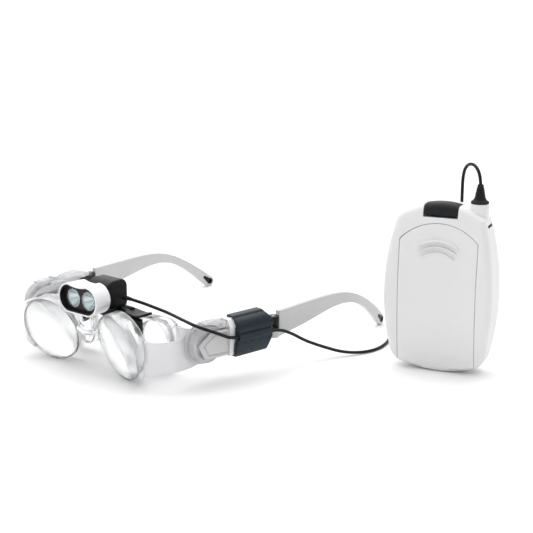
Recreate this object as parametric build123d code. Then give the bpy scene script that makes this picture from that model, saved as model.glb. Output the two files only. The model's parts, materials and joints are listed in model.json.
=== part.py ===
"""Binocular magnifying spectacles with a twin-LED lamp, its lead and its battery box.

Millimetres, +Z up, standing on Z = 0. The spectacles look along -Y and the wearer's left is +X. They are
drawn about their own mid-plane (X = 0) and the box about its own centre. Everything then moves to the
shared frame, whose origin is the bottom centre of the box around the object without its cord.
"""

from build123d import *
import os
from math import cos, pi, radians, sin, tan

# --- Driving dimensions -------------------------------------------------------------------------------------

# Shared frame: where the spectacles' mid-plane and the battery box stand in it
SPECS_X = -49.0
SPECS_Y = -84.7
BOX_X = 97.4
BOX_Y = 43.1
BOX_TURN = 16.5

# Objective lenses in the sliding front carrier
LENS_X = 27.6
LENS_Y = -2.4
LENS_Z = 19.3
LENS_R = 18.2
LENS_TOE = 11.8
LENS_TILT = 13.6
RIM_R = 19.2
RIM_DEPTH = 8.5
LENS_EDGE = 3.0
LENS_CROWN = 2.8

# Side panels of the front carrier and its slide arms
PANEL_WALL = 1.8
PANEL_CORNER_R = 6.5
ARM_X = 69.4
ARM_END_Y = 34.5
ARM_LOW_Z = 15.2
ARM_TOP_Z = 32.0
SLOT_LOW_Z = 17.6
SLOT_TOP_Z = 28.5

# Focus drive: a pinion on each toothed wheel runs along a rack in the slide arm
WHEEL_Y = 20.6
WHEEL_Z = 23.6
WHEEL_R = 10.1
WHEEL_X = 73.2
WHEEL_T = 3.9
WHEEL_TEETH = 44
MODULE = 0.9
PINION_TEETH = 8
PINION_PITCH_R = MODULE * PINION_TEETH / 2
PINION_T = 2.2
AXLE_R = 1.0
AXLE_CLEARANCE = 0.06

# Eyepiece frame behind the front carrier
EYE_X = 30.6
EYE_Y = 19.0
EYE_Z = 18.0
EYE_W = 27.0
EYE_H = 25.0
EYE_DEPTH = 8.0
EYE_LENS_R = 11.3

# Side housings, cover plates and hinges. Each side unit, from the slide arm to the hinge, is drawn straight
# and then toed in about its hinge line.
SIDE_TOE = 8.0
PLATE_X = 71.5
PLATE_T = 1.4
COVER_X = 77.6
COVER_T = 1.6
HOUSING_TOP_Z = 34.4
HOUSING_LOW_Z = 16.0
HOUSING_END_Y = 63.0
HINGE_X = 75.3
HINGE_Y = 68.4
HINGE_BARREL_R = 3.4
HINGE_LOW_Z = 22.4
HINGE_TOP_Z = 30.0
HINGE_PIN_R = 1.1
PIN_CLEARANCE = 0.05

# Temple arms
ARM_SPLAY = 1.5
TEMPLE_T = 2.8
TEMPLE_END_Y = 178.6
TIP_R = 3.5
EYELET_HOLE_R = 1.1

# Lamp over the nose bridge
LAMP_Y = -7.6
LAMP_Z = 41.6
LAMP_END_Y = 4.6
LOBE_R = 8.4
LOBE_SPACING = 14.2
LOBE_DIP = 0.9
BACK_SPACING = 11.2
LAMP_WALL = 0.9
BEZEL_WALL = 0.7
REFLECTOR_X = 5.9
REFLECTOR_R = 5.25
DRUM_R = 8.6
DRUM_Y = 13.7
DRUM_Z = 41.0
DRUM_END_Y = 22.4
DRUM_LOW_Z = 33.5
DRUM_W = 16.6

# Lead: its radius, where it leaves the drum (inner and outer end of its sleeve) and its coil
CORD_R = 0.9
CORD_EXIT_IN = (4.6, 17.3, 40.1)
CORD_EXIT = (11.6, 21.6, 37.9)
COIL_X = 86.7
COIL_Y = 72.2
COIL_OUT_R = 13.4
COIL_PITCH = 1.9
COIL_TURNS = 7.25
COIL_LOW_Z = 0.4

# Battery box
BOX_H = 94.2
BOX_FRONT = 12.0
BOX_BACK = 11.0
BOX_EDGE_R = 3.5
BOX_SPLIT_Y = 2.0
LID_W = 43.6
LID_PLANE_Y = -7.4
LID_GAP = 0.25
LID_LIP_Y = -3.4
LID_LIP_Z = 2.4
SWITCH_FLOOR_Z = 86.6
CELL_R = 5.2
CELL_L = 44.5
CELL_PITCH = 12.4
COLLAR_X = 19.2
COLLAR_R = 5.1
COLLAR_TOP_Z = 94.6
BOOT_H = 10.2

SPECS = Location((SPECS_X, SPECS_Y, 0))
BOX = Location((BOX_X, BOX_Y, 0), (0, 0, BOX_TURN))
SIDES = {"left": 1, "right": -1}
parts = {}


# --- Helpers ------------------------------------------------------------------------------------------------


def box_between(low, high):
    """A block from its lowest corner to its highest corner."""
    size = [h - l for l, h in zip(low, high)]
    return Pos(*low) * Box(*size, align=(Align.MIN, Align.MIN, Align.MIN))


def rod(start, end, radius):
    """A round rod between two points."""
    axis = Vector(*end) - Vector(*start)
    return extrude(Plane(start, z_dir=axis) * Circle(radius), axis.length)


def prism_x(points, x_low, x_high, corner_r=0.0):
    """A closed (y, z) outline made solid from x_low to x_high."""
    face = make_face(Polyline(*points, close=True))
    if corner_r:
        face = fillet(face.vertices(), corner_r)
    return extrude(Plane.YZ.offset(x_low) * face, x_high - x_low)


def prism_y(points, y_low, y_high, corner_r=0.0):
    """A closed (x, z) outline made solid from y_low to y_high."""
    face = make_face(Polyline(*points, close=True))
    if corner_r:
        face = fillet(face.vertices(), corner_r)
    # Plane.XZ looks along -Y, so the outline grows towards -Y from its plane
    return extrude(Plane.XZ.offset(-y_high) * face, y_high - y_low)


def toed(shape):
    """A left-hand shape of the straight side unit, turned about the hinge line to point its front inwards."""
    return Location((HINGE_X, HINGE_Y, 0), (0, 0, -SIDE_TOE)) * (Pos(-HINGE_X, -HINGE_Y, 0) * shape)


def on_side(shape, side):
    """The left-hand shape itself, or its mirror image for the right."""
    return shape if SIDES[side] > 0 else mirror(shape, about=Plane.YZ)


def add_pair(name, shape):
    """A left and a right node from one left-hand shape of the spectacles."""
    for side in SIDES:
        parts[f"{name}_{side}"] = SPECS * on_side(shape, side)


def add(name, shape):
    """One node of the spectacles."""
    parts[name] = SPECS * shape


def add_to_box(name, shape):
    """One node of the battery box."""
    parts[name] = BOX * shape


# --- Front carrier, objective lenses and racks --------------------------------------------------------------

# The lens stands at LENS_LOCATION with its optical axis along local +Z, which points back towards the eye
LENS_LOCATION = Pos(LENS_X, LENS_Y, LENS_Z) * Rotation(0, 0, -LENS_TOE) * Rotation(-90 + LENS_TILT, 0, 0)


def crowned_disc(radius, edge, crown):
    """A biconvex lens with a straight edge, centred on its own origin."""
    ball_r = (radius**2 + crown**2) / (2 * crown)
    offset = ball_r - crown - edge / 2
    return Cylinder(radius, edge + 2 * crown) & (Pos(0, 0, offset) * Sphere(ball_r)) & (
        Pos(0, 0, -offset) * Sphere(ball_r)
    )


def front_rim():
    """One round rim that stands just proud of its lens, with a wall that narrows slightly to the back."""
    outer = Pos(0, 0, RIM_DEPTH / 2 - LENS_EDGE / 2 - 0.4) * Cone(RIM_R, RIM_R - 0.6, RIM_DEPTH)
    outer = fillet(outer.edges(), 0.5)
    return LENS_LOCATION * (outer - Cylinder(LENS_R + 0.05, 40))


def side_panel():
    """The frosted panel that sweeps from the rim back to the slide arm."""
    arm_end = toed(Pos(ARM_X, ARM_END_Y, 0) * Vertex()).center()
    corner = toed(Pos(ARM_X, 2.6, 0) * Vertex()).center()
    plan = FilletPolyline(
        (LENS_X + RIM_R - 3.6, -2.6),
        (50.6, -1.9),
        (corner.X, corner.Y),
        (arm_end.X, arm_end.Y),
        radius=PANEL_CORNER_R,
    )
    wall = extrude(trace(plan, PANEL_WALL), HOUSING_TOP_Z + 4)
    outline = make_face(
        Polyline((38, 29.0), (38, 3.6), (43, 5.2))
        + Spline((43, 5.2), (50, 7.0), (56, 8.7), (61, 9.9), (66, 10.2))
        + Polyline((66, 10.2), (72, 10.2), (72, 36), (64, 36), (62, 27.7))
        + Spline((62, 27.7), (57.5, 26.6), (51.5, 26.2), (45, 26.8), (38, 29.0))
    )
    front = wall & extrude(Plane.XZ.offset(-50) * outline, 100)
    arm_side = prism_x(
        [(-12, -1), (3, 10.1), (9, 10.2), (15, 10.7), (21, 12.3), (24.5, ARM_LOW_Z), (ARM_END_Y, ARM_LOW_Z)]
        + [(ARM_END_Y, ARM_TOP_Z), (19, ARM_TOP_Z), (14.3, 30.6), (7.5, 28.5), (3, 28.1), (-12, 32)],
        20,
        ARM_X + 4,
    )
    return front & toed(arm_side)


def slide_slot():
    """The long slot in a slide arm where the pinion runs."""
    return toed(box_between((ARM_X - 3, 13.4, SLOT_LOW_Z), (ARM_X + 3, 31.4, SLOT_TOP_Z)))


def bridge_bow():
    """The thin clear bow that joins the two rims over the nose."""
    bow = trace(ThreePointArc((-12.4, 28.0), (0, 21.4), (12.4, 28.0)), 2.0)
    bow = extrude(Plane.XZ.offset(-1.8) * bow, 3.2)
    bore = LENS_LOCATION * Cylinder(LENS_R + 0.6, 60)
    bow -= bore + mirror(bore, about=Plane.YZ)
    return bow


def front_carrier():
    """Both rims, both panels and the bow in one clear moulding."""
    half = front_rim() + (side_panel() - (LENS_LOCATION * Cylinder(LENS_R + 0.6, 60)) - slide_slot())
    return half + mirror(half, about=Plane.YZ) + bridge_bow()


def focus_rack():
    """A toothed strip in the lower edge of the slot."""
    pitch = pi * MODULE
    pitch_z = WHEEL_Z - PINION_PITCH_R
    root_z = pitch_z - 1.15 * MODULE
    tip_z = pitch_z + 0.7 * MODULE
    start = 13.6
    end = 31.2
    strip = box_between((ARM_X - 0.9, start, SLOT_LOW_Z + 0.05), (ARM_X + 0.9, end, root_z))
    # A tooth stands under the pinion's gap, which is half a pitch from the wheel's axle
    count = int((end - start) / pitch / 2)
    for index in range(-count, count):
        middle = WHEEL_Y + (index + 0.5) * pitch
        if start + 1.0 < middle < end - 1.0:
            strip += prism_x(
                [(middle - 0.85, root_z - 0.2), (middle + 0.85, root_z - 0.2), (middle + 0.28, tip_z)]
                + [(middle - 0.28, tip_z)],
                ARM_X - 0.9,
                ARM_X + 0.9,
            )
    return strip


add("front_carrier", front_carrier())
add_pair("objective_lens", LENS_LOCATION * crowned_disc(LENS_R, LENS_EDGE, LENS_CROWN))
add_pair("focus_rack", toed(focus_rack()))


# --- Focus wheels and their axles ---------------------------------------------------------------------------


def pinion():
    """The small gear inside the slide arm, with a tooth pointing straight down at rest."""
    gear = Cylinder(PINION_PITCH_R - 1.0 * MODULE, PINION_T)
    tooth = extrude(
        make_face(
            Polyline((1.5, -0.62), (PINION_PITCH_R, -0.5), (PINION_PITCH_R + 0.75 * MODULE, -0.24))
            + Polyline((PINION_PITCH_R + 0.75 * MODULE, -0.24), (PINION_PITCH_R + 0.75 * MODULE, 0.24))
            + Polyline((PINION_PITCH_R + 0.75 * MODULE, 0.24), (PINION_PITCH_R, 0.5), (1.5, 0.62),
                       (1.5, -0.62))
        ),
        PINION_T / 2,
        both=True,
    )
    for index in range(PINION_TEETH):
        gear += Rotation(0, 0, index * 360 / PINION_TEETH) * tooth
    return gear


def focus_wheel():
    """A finely toothed wheel, its hub through the housing plate, and the pinion on the hub's inner end."""
    knurl = Circle(WHEEL_R - 0.55)
    notch_r = WHEEL_R * pi / WHEEL_TEETH * 0.5
    rim = Circle(WHEEL_R)
    for index in range(WHEEL_TEETH):
        rim -= Rotation(0, 0, index * 360 / WHEEL_TEETH) * Pos(WHEEL_R + 0.1, 0) * Circle(notch_r)
    wheel = extrude(rim + knurl, WHEEL_T / 2, both=True)
    wheel -= Pos(0, 0, WHEEL_T / 2) * (Cylinder(WHEEL_R - 2.2, 1.6) - Cylinder(3.4, 1.6))
    hub_start = ARM_X - PINION_T / 2 - (WHEEL_X + WHEEL_T / 2)
    hub = Pos(0, 0, hub_start / 2) * Cylinder(2.2, -hub_start)
    gear = Pos(0, 0, ARM_X - (WHEEL_X + WHEEL_T / 2)) * pinion()
    bore = Cylinder(AXLE_R + AXLE_CLEARANCE, 30)
    return (wheel + hub + gear) - bore


# Local +Z of the wheel points along +X, and local +X points down
WHEEL_LOCATION = Location((WHEEL_X + WHEEL_T / 2, WHEEL_Y, WHEEL_Z)) * Rotation(0, 90, 0)
add_pair("focus_wheel", toed(WHEEL_LOCATION * focus_wheel()))
add_pair("wheel_axle", toed(rod((67.6, WHEEL_Y, WHEEL_Z), (COVER_X + 0.8, WHEEL_Y, WHEEL_Z), AXLE_R)))


# --- Eyepiece frame, eyepiece lenses and nose pads ----------------------------------------------------------


def eyepiece_rim():
    """A rounded clear block with a round seat for its lens."""
    block = RectangleRounded(EYE_W, EYE_H, 7.5) - Circle(EYE_LENS_R + 0.05)
    solid = extrude(block, EYE_DEPTH)
    solid = chamfer(solid.edges().group_by(Axis.Z)[-1], 0.5)
    return Location((EYE_X, EYE_Y + EYE_DEPTH, EYE_Z)) * Rotation(90, 0, 0) * solid


def eyepiece_arm():
    """The arm from an eyepiece rim out and back to the side housing."""
    plan = FilletPolyline(
        (EYE_X + EYE_W / 2 - 1.0, EYE_Y + 4.0),
        (54, EYE_Y + 5.5),
        (62.5, 42.0),
        (HINGE_X, 42.0),
        radius=4.0,
    )
    arm = Pos(0, 0, 19.0) * extrude(trace(plan, 2.6), 9.5)
    return arm - toed(box_between((PLATE_X, 20, 0), (PLATE_X + 30, 60, 60)))


def nose_pad_arm():
    """The thin arm from an eyepiece rim back to its nose pad."""
    points = [(18.2, EYE_Y + 5.0, 13.5), (15.9, EYE_Y + 11.6, 14.5), (11.9, EYE_Y + 12.9, 14.0)]
    path = FilletPolyline(*points, radius=2.4)
    return sweep(Plane(path @ 0, z_dir=path % 0) * Circle(1.1), path=path)


def eyepiece_frame():
    """Rims, bridge bar, arms and nose pad arms."""
    half = eyepiece_rim() + eyepiece_arm() + nose_pad_arm()
    bar = box_between((-EYE_X + 11.0, EYE_Y + 1.5, 25.6), (EYE_X - 11.0, EYE_Y + 5.5, 30.3))
    bar -= Pos(0, EYE_Y + 4.0, 20.0) * Rotation(90, 0, 0) * Cylinder(7.6, 20)
    return half + mirror(half, about=Plane.YZ) + bar


def nose_pad():
    """A soft oval pad, slanted to lie on the side of the nose."""
    pad = extrude(Ellipse(3.6, 6.4), 1.5, both=True)
    pad = fillet(pad.edges(), 1.3)
    slant = Rotation(0, 0, 24) * Rotation(0, 14, 0) * Rotation(0, 0, 90) * Rotation(90, 0, 0)
    pad = Location((10.6, EYE_Y + 13.4, 13.6)) * slant * pad
    return pad - rod((14.6, EYE_Y + 12.0, 14.4), (10.9, EYE_Y + 13.2, 13.9), 1.25)


add("eyepiece_frame", eyepiece_frame())
EYE_LENS_LOCATION = Location((EYE_X, EYE_Y + 4.0, EYE_Z)) * Rotation(90, 0, 0)
add_pair("eyepiece_lens", EYE_LENS_LOCATION * crowned_disc(EYE_LENS_R, 2.6, 1.3))
add_pair("nose_pad", nose_pad())


# --- Side housings, cover plates and hinges -----------------------------------------------------------------


def side_housing():
    """The inner plate behind the wheel, the hump over it and the tube back to the hinge."""
    boss = Plane.YZ.offset(PLATE_X) * (Pos(WHEEL_Y, WHEEL_Z) * Circle(WHEEL_R + 1.4))
    plate = extrude(boss, PLATE_T)
    tail = [(17.6, 35.2), (24, 35.5), (30, 35.0), (32.6, HOUSING_TOP_Z), (55, HOUSING_TOP_Z)]
    tail += [(HOUSING_END_Y, 32.0), (HOUSING_END_Y, HOUSING_LOW_Z + 1.4)]
    tail += [(40, HOUSING_LOW_Z), (WHEEL_Y + 6.0, HOUSING_LOW_Z)]
    plate += prism_x(tail + [(WHEEL_Y, 28)], PLATE_X, PLATE_X + PLATE_T, 0.6)
    hump = [(17.6, 35.2), (24, 35.5), (30, 35.0), (32.6, HOUSING_TOP_Z), (39, HOUSING_TOP_Z), (39, 30.9)]
    hump += [(22.5, 30.9), (19.5, 33.9)]
    body = plate + prism_x(hump, PLATE_X + 0.5, COVER_X - 0.9, 0.6)
    rear = [(32.5, 30.9), (33.5, HOUSING_TOP_Z), (55, HOUSING_TOP_Z), (HOUSING_END_Y, 32.0)]
    rear += [(HOUSING_END_Y, HOUSING_LOW_Z + 1.4), (40, HOUSING_LOW_Z), (32.5, HOUSING_LOW_Z)]
    body += prism_x(rear, PLATE_X + 0.5, COVER_X - 0.1)
    hollow = [(42, 32.0), (53, 32.0), (57, 30), (57, 19), (42, 19)]
    body -= prism_x(hollow, PLATE_X + PLATE_T, COVER_X - 1.6)
    pocket = Location((0, WHEEL_Y, WHEEL_Z)) * Rotation(0, 90, 0) * Cylinder(WHEEL_R + 0.6, 20)
    body -= Pos(PLATE_X + PLATE_T + 10, 0, 0) * pocket
    # Rails that guide the slide arm above and below
    for low_z, high_z in ((ARM_LOW_Z - 1.6, ARM_LOW_Z - 0.35), (ARM_TOP_Z + 0.35, ARM_TOP_Z + 1.6)):
        body += box_between((ARM_X - 1.2, 26, low_z), (PLATE_X + 0.3, 40, high_z))
    hub_bore = Location((PLATE_X, WHEEL_Y, WHEEL_Z)) * Rotation(0, 90, 0) * Cylinder(2.5, 10)
    low = (HINGE_X - 2.3, HOUSING_END_Y - 4.0, HINGE_LOW_Z + 1.0)
    high = (HINGE_X + 1.8, HINGE_Y, HINGE_TOP_Z - 1.0)
    return body - hub_bore - box_between(low, high)


def cover_plate():
    """The flat pentagonal plate over the wheel, with a raised inner field."""
    tip = [(13.2, 24.3), (22.4, 30.4), (39.0, 29.8), (39.0, 15.8), (24.0, 15.9), (17.3, 16.6)]
    plate = prism_x(tip, COVER_X, COVER_X + COVER_T, 1.2)
    plate += prism_x([(38.0, 29.4), (60, 28.6), (60, 18.2), (38.0, 16.6)], COVER_X, COVER_X + 1.1)
    plate = chamfer(plate.faces().sort_by(Axis.X)[-1].edges(), 0.45)
    field = [(15.9, 24.1), (23.1, 28.9), (32.0, 28.7), (33.4, 17.4), (24.4, 17.6), (18.9, 18.1)]
    inside = [(16.6, 24.1), (23.4, 28.3), (31.5, 28.1), (32.8, 18.0), (24.6, 18.2), (19.3, 18.7)]
    groove = prism_x(field, COVER_X + COVER_T - 0.3, COVER_X + COVER_T + 1, 1.0)
    groove -= prism_x(inside, COVER_X, COVER_X + COVER_T + 2, 0.9)
    axle_seat = rod((COVER_X - 1, WHEEL_Y, WHEEL_Z), (COVER_X + 0.85, WHEEL_Y, WHEEL_Z), AXLE_R + 0.02)
    return plate - groove - axle_seat


def rim_band():
    """The pale band round the housing just in front of the cord clip, slanted like the clip's front edge."""
    outer = prism_y([(60, 15.0), (80.0, 15.0), (80.0, 30.9), (77.8, 35.3), (60, 35.3)], 24, 46, 1.4)
    inner = prism_y([(50, 15.75), (79.3, 15.75), (79.3, 31.5), (77.6, 34.55), (50, 34.55)], 14, 56)
    slant = [(32.9, 38), (33.3, 31), (33.6, 24.5), (33.0, 18), (33.6, 13), (36.1, 13), (35.6, 18)]
    slant += [(36.7, 24.5), (36.6, 31), (36.3, 38)]
    return (outer - inner) & prism_x(slant, PLATE_X + 0.5, 90)


def hinge_block():
    """The black tongue that carries a temple's hinge pin, with a leaf along the housing's inner face."""
    tongue = box_between((HINGE_X - 3.0, HOUSING_END_Y + 0.05, HINGE_LOW_Z),
                         (HINGE_X + 3.0, HINGE_Y, HINGE_TOP_Z))
    middle_z = (HINGE_LOW_Z + HINGE_TOP_Z) / 2
    tongue += Pos(HINGE_X, HINGE_Y, middle_z) * Cylinder(HINGE_BARREL_R, HINGE_TOP_Z - HINGE_LOW_Z)
    levels = tongue.faces().sort_by(Axis.Z)
    tongue = chamfer(levels[-1].edges() + levels[0].edges(), 0.5)
    tongue += box_between(
        (HINGE_X - 2.25, HOUSING_END_Y - 3.9, HINGE_LOW_Z + 1.05),
        (HINGE_X + 1.75, HOUSING_END_Y + 1.0, HINGE_TOP_Z - 1.05),
    )
    leaf = box_between((PLATE_X - 1.3, 54, HINGE_TOP_Z - 5.2), (PLATE_X - 0.25, 66, HINGE_TOP_Z))
    leaf += box_between((PLATE_X - 1.3, 63.1, HINGE_TOP_Z - 5.2), (HINGE_X - 2.5, 66, HINGE_TOP_Z))
    leaf = fillet(leaf.edges().filter_by(Axis.X).group_by(Axis.Y)[0], 2.0)
    return tongue + leaf - Pos(HINGE_X, HINGE_Y, middle_z) * Cylinder(HINGE_PIN_R, 20)


add_pair("side_housing", toed(side_housing()))
add_pair("cover_plate", toed(cover_plate()))
add_pair("rim_band", toed(rim_band()))
add_pair("hinge_block", toed(hinge_block()))
add_pair("hinge_pin", rod((HINGE_X, HINGE_Y, 18.4), (HINGE_X, HINGE_Y, 29.9), HINGE_PIN_R))


# --- Temple arms and their eyelets --------------------------------------------------------------------------

TEMPLE_LOCATION = Location((HINGE_X, HINGE_Y, 0), (0, 0, -ARM_SPLAY))
# Centre of the rounded tip, seen from the side, and the direction in which the tip points
TIP_Y = TEMPLE_END_Y - TIP_R
TIP_Z = TIP_R
TIP_SLOPE = -38.0


def beside_tip(along, across):
    """A point near the centre of the tip, as (y, z), by distances along and across its slope."""
    slope = radians(TIP_SLOPE)
    return (TIP_Y + along * cos(slope) - across * sin(slope),
            TIP_Z + along * sin(slope) + across * cos(slope))


def temple_profile():
    """The temple seen from the side, as (y, z): deep at the hinge, slim at the ear bend."""
    along = (cos(radians(TIP_SLOPE)), sin(radians(TIP_SLOPE)))
    back_along = (-along[0], -along[1])
    top_points = [(64.6, 32.0), (96, 32.3), (116, 32.2), (134, 30.2), (148, 25.2), beside_tip(0, TIP_R)]
    low_points = [beside_tip(0, -TIP_R), (150, 18.4), (139, 22.9), (127, 24.4), (113, 23.2), (96, 20.4)]
    low_points += [(72.6, 17.5)]
    top = Spline(*top_points, tangents=[(1, 0), along])
    end = ThreePointArc(top_points[-1], beside_tip(TIP_R, 0), low_points[0])
    low = Spline(*low_points, tangents=[back_along, (-1, -0.14)])
    front = Polyline(low_points[-1], (64.6, 17.5), top_points[0])
    return make_face(top + end + low + front)


def temple_plan(width):
    """The temple seen from above, as (x, y) about the hinge line: straight, then curving behind the ear."""
    straight_end = 130.0
    straight = Line((0, 60), (0, straight_end))
    return trace(straight + TangentArc((0, straight_end), (-6.6, TEMPLE_END_Y + 3), tangent=(0, 1)), width)


def temple_blank():
    """The temple before its hinge and tip are cut, about the hinge line."""
    side = extrude(Plane.YZ.offset(-20) * temple_profile(), 40)
    return side & extrude(temple_plan(TEMPLE_T), 50)


def eyelet_outline(margin):
    """The teardrop insert at the tip, seen from the side, as (y, z)."""
    drop = Circle(2.0 + margin)
    wide = 1.95 + margin
    slim = 0.9 + margin
    tail = make_face(Polyline((0, wide), (-5.6, slim), (-5.6, -slim), (0, -wide), close=True))
    round_end = Pos(-5.6, 0) * Circle(0.9 + margin)
    return Pos(TIP_Y + 0.3, TIP_Z + 0.1) * Rotation(0, 0, TIP_SLOPE) * (drop + tail + round_end)


def temple_arm():
    """The grey temple with its ear under the hinge tongue and the seat for its eyelet."""
    arm = temple_blank()
    ears = Pos(0, HINGE_Y, 25) * Cylinder(3.6, 40) & box_between((-5, 60, 17.9), (5, 80, 32.0))
    root = box_between((-TEMPLE_T / 2, HINGE_Y, 17.9), (TEMPLE_T / 2, HINGE_Y + 8, 32.0))
    blank_front = box_between((-10, 60, 0), (10, HINGE_Y, 50))
    arm = (arm - blank_front) + ears + (root & extrude(Plane.YZ.offset(-20) * temple_profile(), 40))
    throat = box_between((-10, 60, HINGE_LOW_Z - 0.3), (10, HINGE_Y, 50))
    throat += rod((0, HINGE_Y, HINGE_LOW_Z - 0.3), (0, HINGE_Y, 50), HINGE_BARREL_R + 0.5)
    arm -= throat
    arm -= Pos(0, HINGE_Y, 25) * Cylinder(HINGE_PIN_R + PIN_CLEARANCE, 60)
    arm -= extrude(Plane.YZ.offset(-20) * eyelet_outline(0.0), 40)
    return TEMPLE_LOCATION * (Pos(0, -HINGE_Y, 0) * arm)


def temple_eyelet():
    """The black insert with its lanyard hole, standing slightly proud of both faces of the tip."""
    drop = extrude(Plane.YZ.offset(-20) * eyelet_outline(-0.03), 40)
    drop &= extrude(temple_plan(TEMPLE_T + 0.5), 50)
    hole_centre = Pos(TIP_Y + 0.3, TIP_Z + 0.1)
    drop -= extrude(Plane.YZ.offset(-20) * (hole_centre * Circle(EYELET_HOLE_R)), 40)
    return TEMPLE_LOCATION * (Pos(0, -HINGE_Y, 0) * drop)


add_pair("temple_arm", temple_arm())
add_pair("temple_eyelet", temple_eyelet())


# --- Lamp ---------------------------------------------------------------------------------------------------


def lobes(radius, spacing=LOBE_SPACING):
    """The lamp's outline seen from the front: round ends, a straight bottom and a shallow dip on top."""
    half = spacing / 2
    return make_face(
        Line((-half, -radius), (half, -radius))
        + ThreePointArc((half, -radius), (half + radius, 0), (half, radius))
        + ThreePointArc((half, radius), (0, radius - LOBE_DIP), (-half, radius))
        + ThreePointArc((-half, radius), (-half - radius, 0), (-half, -radius))
    )


def lamp_taper(y_low, y_high, inset):
    """The lamp's tapered form between two depths, smaller than its outer surface by an inset."""
    sections = []
    for y in (y_high, y_low):
        share = (y - LAMP_Y) / (LAMP_END_Y - LAMP_Y)
        spacing = LOBE_SPACING + share * (BACK_SPACING - LOBE_SPACING)
        sections.append(Pos(0, 0, LAMP_Z) * (Plane.XZ.offset(-y) * lobes(LOBE_R - inset, spacing)))
    return loft(sections)


def lamp_shell():
    """The white head shell, open at the front, with a slot at the back for the tilt tongue."""
    shell = lamp_taper(LAMP_Y, LAMP_END_Y, 0.0)
    shell = fillet(shell.faces().sort_by(Axis.Y)[-1].edges(), 1.2)
    shell = fillet(shell.faces().sort_by(Axis.Y)[0].edges(), 0.35)
    shell -= lamp_taper(LAMP_Y - 1, LAMP_END_Y - 1.2, LAMP_WALL)
    return shell - box_between((-2.4, LAMP_END_Y - 2, DRUM_Z - 2.9), (2.4, LAMP_END_Y + 2, DRUM_Z + 2.9))


def lamp_bezel():
    """The black cup inside the shell's mouth, with the two reflector openings in its floor."""
    inset = LAMP_WALL + 0.04
    cup = lamp_taper(LAMP_Y + 0.3, LAMP_Y + 4.0, inset)
    cup -= lamp_taper(LAMP_Y, LAMP_Y + 2.6, inset + BEZEL_WALL)
    for x in (-REFLECTOR_X, REFLECTOR_X):
        cup -= rod((x, LAMP_Y, LAMP_Z - 0.4), (x, LAMP_Y + 6, LAMP_Z - 0.4), REFLECTOR_R + 0.05)
    return cup


def reflector(x):
    """A cone reflector behind the bezel, open at both ends."""
    profile = Polyline((1.7, 0), (REFLECTOR_R - 0.05, 3.5), (REFLECTOR_R + 0.4, 3.5),
                       (REFLECTOR_R + 0.4, 3.1))
    profile += Polyline((REFLECTOR_R + 0.4, 3.1), (2.2, -0.2), (1.7, 0))
    cup = revolve(Plane.XZ * make_face(profile), Axis.Z)
    return Pos(x, LAMP_Y + 7.6, LAMP_Z - 0.4) * Rotation(90, 0, 0) * cup


def led_emitter(x):
    """An LED: a square base with a dome, standing on the board."""
    emitter = Box(3.0, 3.0, 0.8) + Pos(0, 0, 0.4) * (Sphere(1.4) & Pos(0, 0, 1) * Box(4, 4, 2))
    return Pos(x, LAMP_Y + 8.35, LAMP_Z - 0.4) * Rotation(90, 0, 0) * emitter


def led_board():
    """The round-ended board that carries both LEDs, in front of the tongue's flange."""
    return lamp_taper(LAMP_Y + 8.8, LAMP_Y + 9.8, LAMP_WALL + 0.1)


def lamp_window(x):
    """A clear disc over one reflector."""
    return rod((x, LAMP_Y + 2.8, LAMP_Z - 0.4), (x, LAMP_Y + 3.4, LAMP_Z - 0.4), REFLECTOR_R)


def tilt_tongue():
    """The tongue that joins the lamp head to the pivot pin inside the drum."""
    blade = box_between((-2.1, LAMP_Y + 9.85, DRUM_Z - 2.6), (2.1, DRUM_Y, DRUM_Z + 2.6))
    blade += Pos(0, DRUM_Y, DRUM_Z) * Rotation(0, 90, 0) * Cylinder(2.6, 4.2)
    blade += box_between((-6.0, LAMP_Y + 9.85, DRUM_Z - 3.6), (6.0, LAMP_END_Y - 1.25, DRUM_Z + 3.6))
    return blade - Pos(0, DRUM_Y, DRUM_Z) * Rotation(0, 90, 0) * Cylinder(AXLE_R + AXLE_CLEARANCE, 20)


def lamp_drum():
    """The black housing behind the head: round front, square shoulder behind, foot and tongue slot."""
    half = DRUM_W / 2
    shoulder = [(DRUM_Y, DRUM_Z + DRUM_R), (DRUM_END_Y, DRUM_Z + DRUM_R), (DRUM_END_Y, DRUM_LOW_Z - 1)]
    block = prism_x(shoulder + [(DRUM_Y, DRUM_LOW_Z - 1)], -half, half)
    block = fillet(block.edges().filter_by(Axis.X).group_by(Axis.Y)[-1], 4.4)
    drum = block + Pos(0, DRUM_Y, DRUM_Z) * Rotation(0, 90, 0) * Cylinder(DRUM_R, DRUM_W)
    drum &= box_between((-20, -20, DRUM_LOW_Z), (20, 40, 60))
    ends = drum.faces().sort_by(Axis.X)
    drum = fillet(ends[0].edges() + ends[-1].edges(), 1.1)
    drum += box_between((-5.6, 11.6, 33.0), (5.6, 20.4, 36.4))
    slot = Pos(0, DRUM_Y, DRUM_Z) * Rotation(0, 90, 0) * Cylinder(3.2, 5.0)
    flare = [(DRUM_Y, DRUM_Z + 3.1), (3, DRUM_Z + 6.2), (3, DRUM_Z - 6.2), (DRUM_Y, DRUM_Z - 3.1)]
    mouth = prism_x(flare, -2.5, 2.5)
    pin_hole = Pos(0, DRUM_Y, DRUM_Z) * Rotation(0, 90, 0) * Cylinder(AXLE_R, 12.4)
    lead_hole = rod(CORD_EXIT_IN, CORD_EXIT, 1.5)
    return drum - slot - mouth - pin_hole - lead_hole


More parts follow.
